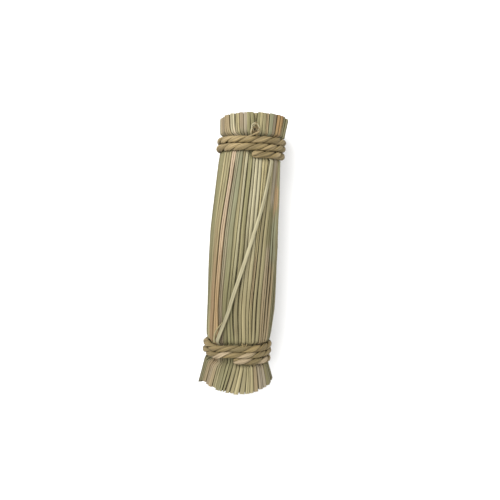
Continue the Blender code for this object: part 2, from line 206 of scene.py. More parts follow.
# The outer stems
# Each is one to three long blades that curled up as they dried. They lie side by side round the bunch, drift
# a little and leave dark gaps, wider where a stem has shrunk away. Only the grip of the ties holds them.
STEM_SEED = 11
STEM_COUNT = 45
STEM_THICKNESS = 1.7
STEM_GAP = 0.1
WIDTH_SPREAD = (0.68, 1.38)
SUNK_BY = (0.0, 0.28)
UNEVEN_CUT = 0.45
CUT_SHARE = 0.4
WIDEST_SPREAD = 1.2
BEARING_STEMS = (43, 44, 0, 1, 2)
CROSSING_SLOTS = {"upper": math.radians(36.0), "lower": math.radians(-37.0)}
CROSSING_LIES = {"upper": 43.0, "lower": 40.5}
SLOT_CLOSED = {"upper": 4.0, "lower": -26.0}
FILLING_LENGTH = 3.5
PARTED_AFTER = 22
PARTED_BY = math.radians(3.1)
PARTED_REACH = math.radians(14.0)
LOOSE_LENGTH = 7.0
FANNED_LENGTH = 9.0
# How much wider the gap after a stem is, where it has shrunk away between the ties or fanned out below them
SHRUNK_AWAY = {16: 0.35, 17: 0.65, 18: 0.08, 21: 0.4, 22: 0.3, 25: 0.15, 26: 0.3, 27: 0.25, 29: 0.4}
FANNED_APART = {17: 0.25, 20: 0.45, 21: 0.5, 22: 0.4, 24: 0.4, 25: 0.3, 28: 0.2}
# How far the gap after a stem winds past the others at the upper left, and between which places it does
NUDGED = {14: 0.4, 15: 0.8, 16: 1.25, 17: 1.05, 18: 0.7, 19: 0.3}
NUDGED_ALONG = (2.0, 44.0)
NUDGED_BACK = (48.0, 54.0)
BLADE_SEED = 23
SEEDS_PER_STEM = 4
BLADE_SIDES = 16
BLADE_LENGTHS = 100
BLADE_WIDTH = 1.6
BLADE_GAP = 0.06
BLADE_SINK = 0.15
BLADE_CUT = 0.14
TOP_SHARE = 0.75
EDGE_DROP = 0.4
EDGE_ROUNDNESS = 2.2
OPENED = {"lower": 0.7, "upper": 0.4}
ROLL = 0.22
RIB_COUNTS = (1, 1, 2, 2, 3)
RIB_DEPTH = (0.05, 0.2)
RIB_ROUNDNESS = 0.6
RIBS_END = 0.8
RIB_AT_EDGE = 0.7
# Painted shade in the valleys between a blade's ribs, and on its sides from this share across outwards
RIB_SHADE = 0.7
SIDE_SHADE_FROM = 0.7
SIDE_SHADE_LENGTH = 0.3
WANDER = 0.32
WANDER_LENGTH = 24.0
DRIFT_START = 0.4
DRIFT_APART = (7.31, 1.7)
# What else drifts along a blade: where it starts in the noise, how much it is and over what length
DRIFTS = {
    "lift": (50.0, 0.14, 15.0),
    "roll": (90.0, 0.25, 20.0),
    "rib shift": (20.0, 0.16, 30.0),
    "rib depth": (70.0, 0.6, 12.0),
}
GRAIN_APART = (3.7, 1.3, 5.1)
CUT_RIM = 0.2
CUT_SINK = 0.3
SHARP_EDGE = math.radians(60.0)

chance = random.Random(STEM_SEED)
widths = [chance.uniform(*WIDTH_SPREAD) for _ in range(STEM_COUNT)]
sunk = [chance.uniform(*SUNK_BY) for _ in range(STEM_COUNT)]
widths[0] = WIDTH_SPREAD[1]
cuts = [[chance.uniform(-UNEVEN_CUT, UNEVEN_CUT) for _ in range(2)] for _ in widths]
crossing_after = {}
found_edges = {}


def slot_share(y, end):
    """How much of its slot the crossing stem fills: all of it near the tie, nothing past the middle."""
    near = UPPER_WAIST[0] - SHOULDER_LENGTH if end == "upper" else LOWER_WAIST[1] + SHOULDER_LENGTH
    far = SLOT_CLOSED[end]
    return min(1.0, max(0.0, (y - far) / (near - far)))


def edges(y):
    """The two side angles of every stem's slot at this place along the bunch."""
    at = round(y, 2)
    if at not in found_edges:
        row = []
        for number, width in enumerate(widths):
            row.append((number, width))
            row += [(end, slot_share(at, end)) for end, after in crossing_after.items() if after == number]
        whole = TURN / sum(width for _, width in row)
        angle = -math.pi - row[0][1] * whole / 2.0
        found_edges[at] = {}
        for slot, width in row:
            found_edges[at][slot] = (wound(angle, at), wound(angle + width * whole, at))
            angle += width * whole
    return found_edges[at]


waist_edges = {"upper": edges(UPPER_WAIST[0]), "lower": edges(LOWER_WAIST[1])}
found_edges.clear()
for end, found in waist_edges.items():
    offsets = [abs(found[number][1] - CROSSING_SLOTS[end]) for number in range(STEM_COUNT)]
    crossing_after[end] = offsets.index(min(offsets))


def straight_tube(sides, lengths):
    """A closed straight tube of unit radius along Z, in unit lengths, with both cut faces inset."""
    shape = bmesh.new()
    bmesh.ops.create_cone(
        shape, cap_ends=True, segments=sides, radius1=1.0, radius2=1.0, depth=float(lengths)
    )
    rails = [edge for edge in shape.edges if abs(edge.verts[0].co.z - edge.verts[1].co.z) > 0.5]
    bmesh.ops.subdivide_edges(shape, edges=rails, cuts=lengths - 1)
    faces = [face for face in shape.faces if abs(face.normal.z) > 0.5]
    bmesh.ops.inset_individual(shape, faces=faces, thickness=CUT_RIM)
    return shape


def add_tube(whole, sides, lengths, point_at):
    """Bends a straight tube and adds it to a shape. point_at turns the turn, the share along, the radius and
    whether the corner is in a cut face into its place, its place in the grain, its painted shade and its
    tone."""
    shape = straight_tube(sides, lengths)
    grain = shape.verts.layers.float_vector.new("grain")
    shade = shape.verts.layers.float_vector.new("shade")
    tint = shape.verts.layers.float_vector.new("tone")
    for corner in shape.verts:
        turn = (math.atan2(corner.co.y, corner.co.x) / TURN) % 1.0
        radius = min(1.0, math.hypot(corner.co.x, corner.co.y))
        share = round(corner.co.z + lengths / 2.0) / lengths
        inside = radius < 1.0 - CUT_RIM / 2.0
        spot, grain_place, groove_shade, tone = point_at(turn, share, radius, inside)
        corner.co = spot
        corner[grain] = grain_place
        corner[shade] = Vector((groove_shade, 1.0 if inside else 0.0, share))
        corner[tint] = tone
    carried = bpy.data.meshes.new("tube")
    shape.to_mesh(carried)
    shape.free()
    whole.from_mesh(carried)
    bpy.data.meshes.remove(carried)


def make_piece(name, shape, surface, stands_for):
    """Turns the shape into a piece of the bunch that stands for its CAD node."""
    bmesh.ops.recalc_face_normals(shape, faces=shape.faces)
    mesh = bpy.data.meshes.new(name)
    shape.to_mesh(mesh)
    shape.free()
    mesh.materials.append(surface)
    mesh.shade_smooth()
    mesh.set_sharp_from_angle(angle=SHARP_EDGE)
    piece = bpy.data.objects.new(name, mesh)
    bpy.context.scene.collection.objects.link(piece)
    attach(piece, "root")
    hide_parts(stands_for)


def drift(seed, y, length=WANDER_LENGTH):
    """A slow random drift between -1 and 1 along a stem."""
    return noise.noise(Vector((seed * DRIFT_APART[0] + DRIFT_START, y / length, seed * DRIFT_APART[1])))


def opened(y):
    """How flat the blades have opened towards their cut ends."""
    lower = OPENED["lower"] * smooth_step((LOWER_WAIST[0] - y) / (LOWER_WAIST[0] - LOWER_END_Y))
    return lower + OPENED["upper"] * smooth_step((y - UPPER_WAIST[1]) / (UPPER_END_Y - UPPER_WAIST[1]))


class Blade:
    """One dried blade: its ribs, roll and drift, and how its section follows its path."""

    def __init__(self, seed, path, ends, tone_at, thickness=STEM_THICKNESS, drop=EDGE_DROP, ribs=None):
        draw = random.Random(seed)
        self.seed = seed
        self.path = path
        self.ends = ends
        self.tone_at = tone_at
        self.thickness = thickness
        self.drop = drop
        self.ribs = ribs or draw.choice(RIB_COUNTS)
        self.depth = draw.uniform(*RIB_DEPTH)
        self.roll = draw.uniform(-ROLL, ROLL)
        self.rings = {}

    def drifted(self, what, y):
        start, amount, length = DRIFTS[what]
        return amount * drift(self.seed + start, y, length)

    def ring(self, share):
        """What is the same all round one place along the blade."""
        if share not in self.rings:
            y = self.ends[0] + (self.ends[1] - self.ends[0]) * share
            left, right, crown = self.path(y)
            middle = (left + right) / 2.0
            self.rings[share] = {
                "y": y,
                "wide": half_width(middle, y),
                "middle": middle,
                "half": (right - left) / 2.0,
                "lift": crown + self.drifted("lift", y),
                "roll": self.roll + self.drifted("roll", y),
                "rib_shift": self.drifted("rib shift", y),
                "rib_depth": self.depth * (1.0 + self.drifted("rib depth", y)) * (1.0 - opened(y)),
                "drop": self.drop * (1.0 - opened(y)),
                "tone": self.tone_at(y),
            }
        return self.rings[share]

    def section(self, turn, ring):
        """The place across (-1 to 1), the height and the painted shade of its rib valley or side at this
        turn.
        """
        if turn > TOP_SHARE:
            return 1.0 - 2.0 * (turn - TOP_SHARE) / (1.0 - TOP_SHARE), -self.thickness, 1.0
        across = 2.0 * turn / TOP_SHARE - 1.0
        rib = abs(math.sin(math.pi * self.ribs * (across + ring["rib_shift"] + 1.0) / 2.0)) ** RIB_ROUNDNESS
        if abs(across) > RIBS_END:
            rib = max(rib, RIB_AT_EDGE)
        height = -ring["drop"] * abs(across) ** EDGE_ROUNDNESS - ring["rib_depth"] * (1.0 - rib)
        # Painted shade on the sides of the blade and in the valleys between its ribs
        side = max(0.0, abs(across) - SIDE_SHADE_FROM) / SIDE_SHADE_LENGTH
        return across, height, max(side, RIB_SHADE * (1.0 - rib))

    def point_at(self, turn, share, radius, inside):
        ring = self.ring(share)
        across, height, groove_shade = self.section(turn, ring)
        y = ring["y"]
        if inside:
            across *= radius
            height = -self.thickness / 2.0 + (height + self.thickness / 2.0) * radius
            y += CUT_SINK if share < 0.5 else -CUT_SINK
        sideways = across * ring["half"] * ring["wide"]
        out = ring["lift"] + height + ring["roll"] * sideways
        spot = place(ring["middle"] + ring["half"] * across, y, out)
        grain = Vector([at + self.seed * apart for at, apart in zip((sideways, height, y), GRAIN_APART)])
        return spot, grain, groove_shade, ring["tone"]


def loosened(y):
    """How free of the ties the stems are: not at all under a tie, and wholly a little way from it."""
    if LOWER_WAIST[0] < y < UPPER_WAIST[1]:
        away = min(y - LOWER_WAIST[1], UPPER_WAIST[0] - y)
    else:
        away = max(LOWER_WAIST[0] - y, y - UPPER_WAIST[1])
    return smooth_step(away / LOOSE_LENGTH)


def nudged_share(y):
    """How far the stems that wind more than the rest, at the upper left, have gone by here."""
    gone = smooth_step((y - NUDGED_ALONG[0]) / (NUDGED_ALONG[1] - NUDGED_ALONG[0]))
    return gone * smooth_step((NUDGED_BACK[1] - y) / (NUDGED_BACK[1] - NUDGED_BACK[0]))


def outer_path(number, part, parts, depth):
    """Where one blade of an outer stem lies: its two sides and how far out its crown is. Past the middle a
    stem keeps near its width there, but for the two that close over the crossing stem's slot."""
    middle = edges(0.0)[number]
    widest = math.pi if number in crossing_after.values() else WIDEST_SPREAD * (middle[1] - middle[0])
    from_parting = abs(sum(middle) / 2.0 - edges(0.0)[PARTED_AFTER][1]) / PARTED_REACH
    pushed = PARTED_BY * max(0.0, 1.0 - from_parting) * (1.0 if number > PARTED_AFTER else -1.0)
    nudges = [NUDGED.get(side, 0.0) for side in (number - 1, number)]

    def path(y):
        left, right = edges(y)[number]
        end = "upper" if y > 0 else "lower"
        if crossing_after[end] == number:
            covered = smooth_step((CROSSING_LIES[end] - abs(y)) / FILLING_LENGTH)
            right += (edges(y)[end][1] - right) * covered
        spare = max(0.0, (right - left - widest) / 2.0) if y > LOWER_WAIST[0] else 0.0
        push = pushed * max(0.0, (y - UPPER_WAIST[1]) / (UPPER_END_Y - UPPER_WAIST[1]))
        wide = half_width((left + right) / 2.0, y)
        sides = []
        for at, inward in ((part, 1.0), (part + 1, -1.0)):
            angle = left + spare + (right - left - 2.0 * spare) * at / parts + push
            angle += WANDER * drift((number + at / parts) % STEM_COUNT, y) / wide
            angle += (nudges[0] + (nudges[1] - nudges[0]) * at / parts) * nudged_share(y) / wide
            gap = BLADE_GAP
            if at in (0, parts):
                side = number - 1 if at == 0 else number
                gap = STEM_GAP + SHRUNK_AWAY.get(side, 0.0) * loosened(y) * (y > LOWER_WAIST[0])
                gap += FANNED_APART.get(side, 0.0) * smooth_step((LOWER_WAIST[0] - y) / FANNED_LENGTH)
            sides.append(angle + inward * gap / 2.0 / wide)
        return *sides, -depth

    return path


# The grass dries to straw and khaki, with grey-green, olive and mauve stems among them, and a few that turned
# orange or pink. A stem's tone changes at its foot, along its middle and above the upper tie.
GAMMA = 2.2
SKIN_SHARE = 0.49
STRAW = (178, 165, 121)
KHAKI = (164, 153, 112)
OLIVE = (149, 142, 101)
GREY_GREEN = (150, 148, 114)
CREAM = (190, 181, 145)
MAUVE = (170, 157, 131)
BROWN_TAN = (166, 147, 110)
ORANGE_TAN = (187, 157, 112)
PINK_TAN = (219, 193, 160)
BROWN_MAUVE = (154, 138, 109)
DARK_OLIVE = (132, 125, 86)
# Olive darkened further: the stems' own grey-green together with painted shade on the sides of the bunch
SHADED_EDGE_OLIVE = (120, 113, 76)
RUSSET = (172, 138, 90)
TAN_ROSE = (174, 145, 106)
# The brown that painted shade darkens towards, in grooves, on blade sides, in creases and between plies
GROOVE_SHADE_BROWN = (72, 60, 32)
STAIN_BROWN = (112, 92, 60)
PITH = (200, 184, 142)
# The stems that show at the front, each with its foot, its lower half, its upper half and its tip
FRONT_TONES = {
    # The stems at the left and right of the outline are darker olive: partly their own colour, partly painted
    # shade on the bunch's sides
    9: (SHADED_EDGE_OLIVE, SHADED_EDGE_OLIVE, SHADED_EDGE_OLIVE, DARK_OLIVE),
    10: (SHADED_EDGE_OLIVE, SHADED_EDGE_OLIVE, SHADED_EDGE_OLIVE, DARK_OLIVE),
    11: (SHADED_EDGE_OLIVE, SHADED_EDGE_OLIVE, SHADED_EDGE_OLIVE, BROWN_MAUVE),
    12: (SHADED_EDGE_OLIVE, SHADED_EDGE_OLIVE, SHADED_EDGE_OLIVE, DARK_OLIVE),
    13: (SHADED_EDGE_OLIVE, DARK_OLIVE, DARK_OLIVE, BROWN_MAUVE),
    14: (SHADED_EDGE_OLIVE, DARK_OLIVE, OLIVE, BROWN_MAUVE),
    15: (DARK_OLIVE, STRAW, STRAW, BROWN_TAN),
    16: (BROWN_TAN, TAN_ROSE, KHAKI, BROWN_TAN),
    17: (BROWN_MAUVE, ORANGE_TAN, PINK_TAN, CREAM),
    18: (KHAKI, BROWN_MAUVE, CREAM, STRAW),
    19: (OLIVE, DARK_OLIVE, GREY_GREEN, BROWN_MAUVE),
    20: (OLIVE, OLIVE, KHAKI, MAUVE),
    21: (OLIVE, OLIVE, CREAM, OLIVE),
    22: (KHAKI, KHAKI, OLIVE, OLIVE),
    # The tips of 23 and 24 are darker: painted shadow that the frayed loop casts on them
    23: (STRAW, KHAKI, CREAM, OLIVE),
    24: (STRAW, STRAW, CREAM, KHAKI),
    25: (KHAKI, STRAW, CREAM, KHAKI),
    26: (KHAKI, STRAW, STRAW, BROWN_TAN),
    27: (STRAW, STRAW, STRAW, BROWN_MAUVE),
    28: (BROWN_TAN, KHAKI, KHAKI, RUSSET),
    29: (MAUVE, BROWN_TAN, MAUVE, RUSSET),
    30: (MAUVE, BROWN_TAN, BROWN_TAN, DARK_OLIVE),
    31: (DARK_OLIVE, BROWN_TAN, OLIVE, DARK_OLIVE),
    32: (DARK_OLIVE, DARK_OLIVE, OLIVE, SHADED_EDGE_OLIVE),
    33: (DARK_OLIVE, DARK_OLIVE, OLIVE, SHADED_EDGE_OLIVE),
}
SMOOTH_STEMS = (13, 14, 15, 16, 18, 29, 30, 31)
PATCHES = {
    26: ((-12.0, 14.0, BROWN_TAN),),
    29: ((11.0, 12.0, DARK_OLIVE),),
    30: ((23.5, 7.5, ORANGE_TAN), (5.0, 13.0, GREY_GREEN)),
    31: ((23.5, 6.5, ORANGE_TAN), (5.0, 14.0, GREY_GREEN)),
}
OTHER_TONES = (STRAW, KHAKI, OLIVE, GREY_GREEN, KHAKI, CREAM, BROWN_TAN, MAUVE, OLIVE, STRAW)
TONE_PLACES = (-99.0, -53.0, -42.0, -22.0, 22.0, 43.0, 54.0, 99.0)
TONE_SPREAD = (0.88, 1.12)
TONE_DRIFT = 5.0
TONE_DRIFT_START = 31.0
TONE_DRIFT_LENGTH = 11.0
BLEACHED = 1.07
# Every stem is darker towards the lower end, from this place along and over this length
LOWER_DARKENING = 0.1
LOWER_DARKENING_FROM = 20.0
LOWER_DARKENING_LENGTH = 50.0
NOISE_SPAN = (0.3, 0.7)
STREAK_GRAIN = (1.6, 1.6, 0.02)
STREAK_LIGHTNESS = (0.76, 1.2)
STREAK_ROUGHNESS = (0.8, 0.58)
STREAK_HEIGHT = 1.5
FIBRE_GRAIN = (4.5, 4.5, 0.06)
FIBRE_LIGHTNESS = (0.82, 1.14)
STAIN_GRAIN = (0.6, 0.6, 0.12)
STAIN_SPAN = (0.5, 0.75)
# How the painted shade amount turns into darkening
GROOVE_SHADE_SPAN = (0.1, 1.0)
GROOVE_SHADE_DARKNESS = (0.0, 0.6)
PITH_GRAIN = (3.5, 3.5, 0.4)
PITH_SPAN = (0.4, 0.66)
PITH_SHARE = 0.6
MOTTLED_DETAIL = 4.0
BUMP_STRENGTH = 0.5
GLOSS = 0.3
OUTER_STAINS = 0.3
OUTER_BUMP_DEPTH = 0.12


def linear(colour):
    """A colour as it is seen in this light, as the linear values of the skin."""
    return Vector(((channel / 255.0) ** GAMMA * SKIN_SHARE for channel in colour))


def toned(seed, foot, lower, upper, tip, patches=()):
    """The tone along a blade. No two blades are quite as light as each other, their lower half is a little
    darker and their tips are bleached. A few have patches, each with its middle, its reach and its tone."""
    paler = random.Random(seed).uniform(*TONE_SPREAD)
    tones = [linear(tone) * paler for tone in (foot, foot, lower, lower, upper, upper, tip, tip)]
    tones[-2:] = [tone * BLEACHED for tone in tones[-2:]]
    run = list(zip(TONE_PLACES, tones))

    def tone_at(y):
        tone = along_line(run, y + TONE_DRIFT * drift(seed + TONE_DRIFT_START, y, TONE_DRIFT_LENGTH))
        for middle, reach, patch in patches:
            tone = tone.lerp(linear(patch), smooth_step(2.0 - 2.0 * abs(y - middle) / reach))
        return tone * (1.0 - LOWER_DARKENING * smooth_step((LOWER_DARKENING_FROM - y) / LOWER_DARKENING_LENGTH))

    return tone_at


def add_node(tree, kind, inputs, **settings):
    """Adds a node whose inputs are values or the sockets that feed them."""
    made = tree.nodes.new(kind)
    for setting, value in settings.items():
        setattr(made, setting, value)
    for socket, value in inputs.items():
        if isinstance(value, bpy.types.NodeSocket):
            tree.links.new(value, made.inputs[socket])
        else:
            made.inputs[socket].default_value = value
    return made


def grain_noise(tree, vector, stretch, detail=3.0):
    """Noise that is stretched along the grain: stretch is across, deep and along, per millimetre."""
    scaled = add_node(tree, "ShaderNodeVectorMath", {0: vector, 1: stretch}, operation="MULTIPLY")
    inputs = {"Vector": scaled.outputs[0], "Scale": 1.0, "Detail": detail}
    return add_node(tree, "ShaderNodeTexNoise", inputs).outputs[0]


def in_range(tree, value, low, high, to_low=0.0, to_high=1.0):
    """Carries a value from one range to another, smoothly and clamped."""
    inputs = {0: value, 1: low, 2: high, 3: to_low, 4: to_high}
    return add_node(tree, "ShaderNodeMapRange", inputs, interpolation_type="SMOOTHSTEP").outputs[0]


def mixed(tree, factor, first, second, blend="MIX"):
    """One colour over another. A colour may be a palette tone."""
    colours = [(*linear(colour), 1.0) if isinstance(colour, tuple) else colour for colour in (first, second)]
    inputs = {0: factor, 6: colours[0], 7: colours[1]}
    return add_node(tree, "ShaderNodeMix", inputs, data_type="RGBA", blend_type=blend).outputs[2]


def calculated(tree, operation, *values):
    return add_node(tree, "ShaderNodeMath", dict(enumerate(values)), operation=operation).outputs[0]


def dried_grass_group():
    """A blade's tone with fibres, streaks, stains, painted shade in its grooves and pale pith where it is
    cut.
    """
    group = bpy.data.node_groups.new("dried_grass", "ShaderNodeTree")
    wanted = {"Grain": "Vector", "Shade": "Vector", "Tone": "Color", "Stain Amount": "Float"}
    for label, kind in wanted.items():
        group.interface.new_socket(label, in_out="INPUT", socket_type=f"NodeSocket{kind}")
    for label, kind in {"Colour": "Color", "Roughness": "Float", "Height": "Float"}.items():
        group.interface.new_socket(label, in_out="OUTPUT", socket_type=f"NodeSocket{kind}")
    given = group.nodes.new("NodeGroupInput").outputs
    out = group.nodes.new("NodeGroupOutput").inputs
    groove_shade, cut, _ = add_node(group, "ShaderNodeSeparateXYZ", {0: given["Shade"]}).outputs
    streak = grain_noise(group, given["Grain"], STREAK_GRAIN)
    fibre = grain_noise(group, given["Grain"], FIBRE_GRAIN)
    patch = grain_noise(group, given["Grain"], STAIN_GRAIN, MOTTLED_DETAIL)
    pith = grain_noise(group, given["Grain"], PITH_GRAIN, MOTTLED_DETAIL)
    streak_lightness = in_range(group, streak, *NOISE_SPAN, *STREAK_LIGHTNESS)
    fibre_lightness = in_range(group, fibre, *NOISE_SPAN, *FIBRE_LIGHTNESS)
    colour = mixed(group, 1.0, given["Tone"], streak_lightness, "MULTIPLY")
    colour = mixed(group, 1.0, colour, fibre_lightness, "MULTIPLY")
    stained = calculated(group, "MULTIPLY", in_range(group, patch, *STAIN_SPAN), given["Stain Amount"])
    colour = mixed(group, stained, colour, STAIN_BROWN)
    # Painted shade: darkened towards brown by the shade amount that each blade, stem, ply and fibre carries
    colour = mixed(group, in_range(group, groove_shade, *GROOVE_SHADE_SPAN, *GROOVE_SHADE_DARKNESS), colour, GROOVE_SHADE_BROWN)
    pith_colour = mixed(group, in_range(group, pith, *PITH_SPAN), PITH, STAIN_BROWN)
    colour = mixed(group, calculated(group, "MULTIPLY", cut, PITH_SHARE), colour, pith_colour)
    streak_height = calculated(group, "MULTIPLY", streak, STREAK_HEIGHT)
    group.links.new(colour, out["Colour"])
    group.links.new(in_range(group, streak, *NOISE_SPAN, *STREAK_ROUGHNESS), out["Roughness"])
    group.links.new(calculated(group, "ADD", fibre, streak_height), out["Height"])
    return group


dried_grass = dried_grass_group()


def grass_material(name, stain_amount, bump_depth=OUTER_BUMP_DEPTH):
    """A skin of dried grass. The tone, the grain and the grooves come with the blade's own shape."""
    made = bpy.data.materials.new(name)
    made.use_nodes = True
    tree = made.node_tree
    shader = tree.nodes["Principled BSDF"]
    finish = add_node(tree, "ShaderNodeGroup", {}, node_tree=dried_grass)
    for label in ("Grain", "Shade", "Tone"):
        read = add_node(tree, "ShaderNodeAttribute", {}, attribute_name=label.lower())
        tree.links.new(read.outputs["Vector"], finish.inputs[label])
    finish.inputs["Stain Amount"].default_value = stain_amount
    bump = add_node(tree, "ShaderNodeBump", {"Height": finish.outputs["Height"], "Strength": BUMP_STRENGTH})
    bump.inputs["Distance"].default_value = bump_depth * MM
    tree.links.new(finish.outputs["Colour"], shader.inputs["Base Color"])
    tree.links.new(finish.outputs["Roughness"], shader.inputs["Roughness"])
    tree.links.new(bump.outputs["Normal"], shader.inputs["Normal"])
    shader.inputs["Specular IOR Level"].default_value = GLOSS
    return made


outer_skin = grass_material("outer_stem_skin", OUTER_STAINS)
draw = random.Random(BLADE_SEED)
for number in range(STEM_COUNT):
    left, right = edges(0.0)[number]
    centre = (left + right) / 2.0 - wound(0.0, 0.0)
    low = lower_end(wound(centre, LOWER_END_Y)) + cuts[number][0] * CUT_SHARE
    high = upper_end(wound(centre, UPPER_END_Y)) + cuts[number][1] * CUT_SHARE
    parts = max(1, round((right - left) * BELLY_HALF_WIDTH / BLADE_WIDTH))
    parts += number == crossing_after["upper"]
    tones = FRONT_TONES.get(number) or [draw.choice(OTHER_TONES) for _ in range(4)]
    shape = bmesh.new()
    for part in range(parts):
        seed = number * SEEDS_PER_STEM + part
        depth = 0.0 if number in BEARING_STEMS else sunk[number] + draw.uniform(0.0, BLADE_SINK)
        blade = Blade(
            seed,
            outer_path(number, part, parts, depth),
            (low + draw.uniform(-BLADE_CUT, BLADE_CUT), high + draw.uniform(-BLADE_CUT, BLADE_CUT)),
            toned(seed, *tones, PATCHES.get(number, ())),
            ribs=1 if number in SMOOTH_STEMS else None,
        )
        add_tube(shape, BLADE_SIDES, BLADE_LENGTHS, blade.point_at)
    node = f"stem_{number + 1:02d}"
    make_piece(f"{node}_blades", shape, outer_skin, node)

# The crossing stem
# One pale blade has come loose between the ties. It leaves its slot under the upper tie on the right, lies
# over the others, and dips under the lower tie on the left, where a thin strand has split off it.
CROSSING_SEED = 401
CROSSING_LIFT = 1.38
CROSSING_THICKNESS = 1.3
CROSSING_WIDTH = 1.6
CROSSING_DROP = 0.3
CROSSING_RIBS = 2
CROSSING_ROUTE = (
    (-37.0, -31.0),
    (-30.0, -21.5),
    (-20.0, -12.5),
    (-6.0, 1.5),
    (8.0, 15.0),
    (20.0, 26.5),
    (28.0, 32.2),
    (36.0, 36.8),
)
CROSSING_EASING = 3.0
# Where it leaves the others, is tucked in and has settled into its slot, at the lower and at the upper tie
CROSSING_FREE = (-39.2, 39.4)
CROSSING_TUCKED = (-42.1, 42.0)
CROSSING_SETTLED = (-43.5, 47.0)
STRAND_SEED = 402
STRAND_ROUTE = ((-41.2, -44.7), (-39.4, -43.7), (-36.8, -40.0), (-34.5, -35.0), (-31.0, -26.0))
STRAND_EASING = 0.8
STRAND_ENDS = (-41.2, -31.0)
STRAND_WIDTH = 1.0
STRAND_TAPER = 0.6
STRAND_LIFT = (0.3, 1.1)
STRAND_RISE = 1.5
STRAND_THICKNESS = 0.45
STRAND_DROP = 0.15
STRAND_SIDES = 10
STRAND_LENGTHS = 24


def crossing_path(y):
    """Where the crossing stem lies."""
    angle = math.radians(eased_line(CROSSING_ROUTE, y, CROSSING_EASING))
    half = CROSSING_WIDTH / 2.0 / half_width(angle, y)
    upper = y > 0
    past_free = y - CROSSING_FREE[upper]
    tucked = smooth_step(past_free / (CROSSING_TUCKED[upper] - CROSSING_FREE[upper]))
    settled = smooth_step(past_free / (CROSSING_SETTLED[upper] - CROSSING_FREE[upper]))
    if tucked > 0.0:
        left, right = edges(y)["upper" if upper else "lower"]
        angle += ((left + right) / 2.0 - angle) * settled
        half += ((right - left) / 2.0 - half) * settled
    return angle - half, angle + half, CROSSING_LIFT * (1.0 - tucked)


def strand_path(y):
    """Where the strand lies. It thins towards its end and rises to the stem that it split from."""
    angle = math.radians(eased_line(STRAND_ROUTE, y, STRAND_EASING))
    share = (y - STRAND_ENDS[0]) / (STRAND_ENDS[1] - STRAND_ENDS[0])
    half = STRAND_WIDTH * (1.0 - STRAND_TAPER * share**3) / 2.0 / half_width(angle, y)
    return angle - half, angle + half, STRAND_LIFT[0] + STRAND_LIFT[1] * smooth_step(share * STRAND_RISE)


crossing_ends = (
    lower_end(sum(edges(LOWER_WAIST[1])["lower"]) / 2.0),
    upper_end(sum(edges(UPPER_WAIST[1])["upper"]) / 2.0),
)
crossing_tone = toned(CROSSING_SEED, BROWN_TAN, CREAM, CREAM, GREY_GREEN)
crossing = Blade(
    CROSSING_SEED,
    crossing_path,
    crossing_ends,
    crossing_tone,
    CROSSING_THICKNESS,
    CROSSING_DROP,
    CROSSING_RIBS,
)
strand_tone = toned(STRAND_SEED, KHAKI, KHAKI, CREAM, CREAM)
strand = Blade(STRAND_SEED, strand_path, STRAND_ENDS, strand_tone, STRAND_THICKNESS, STRAND_DROP, 1)
shape = bmesh.new()
add_tube(shape, BLADE_SIDES, BLADE_LENGTHS, crossing.point_at)
add_tube(shape, STRAND_SIDES, STRAND_LENGTHS, strand.point_at)
make_piece("crossing_stem_blade", shape, outer_skin, "crossing_stem")

# The inner stems
# The same grass fills the inside of the bunch, and shows as cut ends and in glimpses between the outer
# stems. Each stem is a curled blade or a flat one. A row of them lines the outer stems, and the rest lie at
# their own turns. The ties press them together.
INNER_SEED = 5
INNER_TONE_SEED = 500
INNER_COUNT = 330
INNER_SIDES = 8
INNER_LENGTHS = 6
INNER_OFFSET = -3.4
INNER_UNEVEN = 0.3
INNER_CLEARANCE = 0.2
INNER_LEAN = (0.05, 0.1)
# The painted shade that every inner stem carries all along
INNER_SHADE = 0.2
INNER_STAINS = 0.45
LINING_COUNT = 90
LINING_OFFSET = -2.3
LINING_TURN = 0.45
LINING_UNEVEN = 0.25
FLAT_SHARE = 0.5
FLAT_WIDTH = (0.8, 1.15)
FLAT_THICKNESS = (0.32, 0.5)
CURLED_RADIUS = (0.58, 0.8)
GOLDEN_ANGLE = math.pi * (3.0 - math.sqrt(5.0))
INNER_STATIONS = (LOWER_WAIST[0], LOWER_WAIST[1] + 2.0, 0.0, UPPER_WAIST[0] - 2.0, UPPER_WAIST[1])


